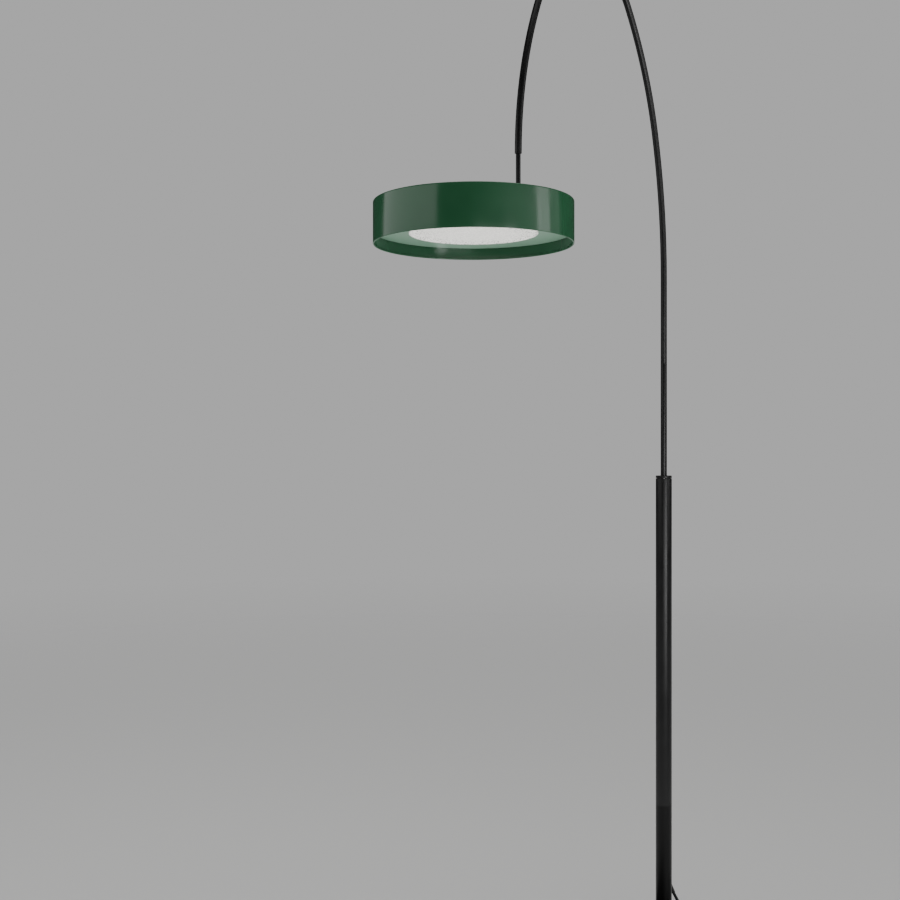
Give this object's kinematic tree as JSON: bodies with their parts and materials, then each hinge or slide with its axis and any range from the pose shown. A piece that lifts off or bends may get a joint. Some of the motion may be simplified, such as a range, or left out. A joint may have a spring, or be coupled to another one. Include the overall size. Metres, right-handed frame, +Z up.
{
  "type": "adjustable arm floor lamp",
  "caption": "Floor lamp: weighted round base, upright pole, arched rod that turns and slides in the pole, and a flat drum head with a round diffuser that turns on the rod's end.",
  "frame": {"origin": "centre of the round base's underside, on the floor", "axes": "+Z up; the arm reaches from the pole toward -X; +Y is sideways"},
  "size_m": [1.003, 0.422, 2.1416],
  "materials": {
    "green_lacquer": "satin dark green lacquer",
    "green_plate": "satin pale green lacquer",
    "black_lacquer": "satin black powder coat",
    "cast_weight": "cast",
    "bare_steel": "zinc plated",
    "bare_aluminium": "rolled",
    "opal_diffuser": "opal acrylic with a prismatic face",
    "white_plastic": "matt",
    "black_plastic": "fine texture",
    "bearing_plastic": "natural acetal",
    "black_rubber": "matt",
    "lead_jacket": "smooth PVC",
    "led_phosphor": "silicone",
    "pin_brass": "nickel plated"
  },
  "bodies": {
    "root": {"base_pad": "black_rubber", "base_weight": "cast_weight", "base_cover": "black_lacquer", "pole_foot": "black_lacquer", "pole_bolt": "bare_steel", "pole_washer": "bare_steel", "pole_tube": "black_lacquer", "cord_gland": "black_plastic", "strain_relief": "black_rubber", "pole_lead": "lead_jacket", "curly_lead": "lead_jacket", "top_bush": "bearing_plastic", "lower_bush": "bearing_plastic", "thrust_washer": "bearing_plastic", "cord": "lead_jacket", "cord_tail": "lead_jacket", "cord_coil": "lead_jacket", "cord_tie": "black_rubber", "plug_body": "black_plastic", "plug_pins": "pin_brass", "switch_base": "black_plastic", "switch_cover": "black_plastic", "switch_contacts": "black_plastic", "button_spring": "bare_steel"},
    "swivel": {"swivel_cap": "black_lacquer", "guide_sleeve": "bare_steel", "sleeve_clip": "bare_steel", "guide_liners": "bearing_plastic"},
    "arm": {"arm_stem": "black_lacquer", "stem_stop": "black_plastic", "rod_joiner": "bare_steel", "arm_arch": "black_lacquer", "end_ferrule": "black_lacquer", "end_rod": "black_lacquer", "rod_end_collar": "black_lacquer", "arm_lead": "lead_jacket"},
    "head": {"shade_shell": "green_lacquer", "head_hub": "black_lacquer", "carrier_plate": "bare_steel", "hub_washer": "bare_steel", "hub_nut": "bare_steel", "inner_plate": "green_plate", "mixing_ring": "white_plastic", "heat_sink": "bare_aluminium", "led_board": "white_plastic", "leds": "led_phosphor", "plate_screws": "bare_steel", "spacer_posts": "bare_steel", "post_screws": "bare_steel", "diffuser": "opal_diffuser", "diffuser_hooks": "opal_diffuser", "driver": "white_plastic", "driver_screws": "bare_steel", "terminal_block": "white_plastic", "head_lead": "lead_jacket"},
    "button": {"switch_button": "black_plastic"}
  },
  "joints": [
    {"name": "arm_swivel", "type": "hinge", "parent": "root", "child": "swivel", "pos_m": [0.11, 0, 1.0245], "axis": [0, 0, 1], "range_deg": [-60, 60]},
    {"name": "arm_height", "type": "slide", "parent": "swivel", "child": "arm", "axis": [0, 0, 1], "range_m": [-0.3, 0.1], "deforming": ["curly_lead"]},
    {"name": "head_swivel", "type": "hinge", "parent": "arm", "child": "head", "pos_m": [-0.40431, 0, 1.557], "axis": [0, 0, 1], "range_deg": [-170, 170]},
    {"name": "switch_press", "type": "slide", "parent": "root", "child": "button", "axis": [0, 0, -1], "range_m": [0, 0.0025], "stiffness_N_per_m": 400, "springref_m": -0.002, "deforming": ["button_spring"]}
  ]
}
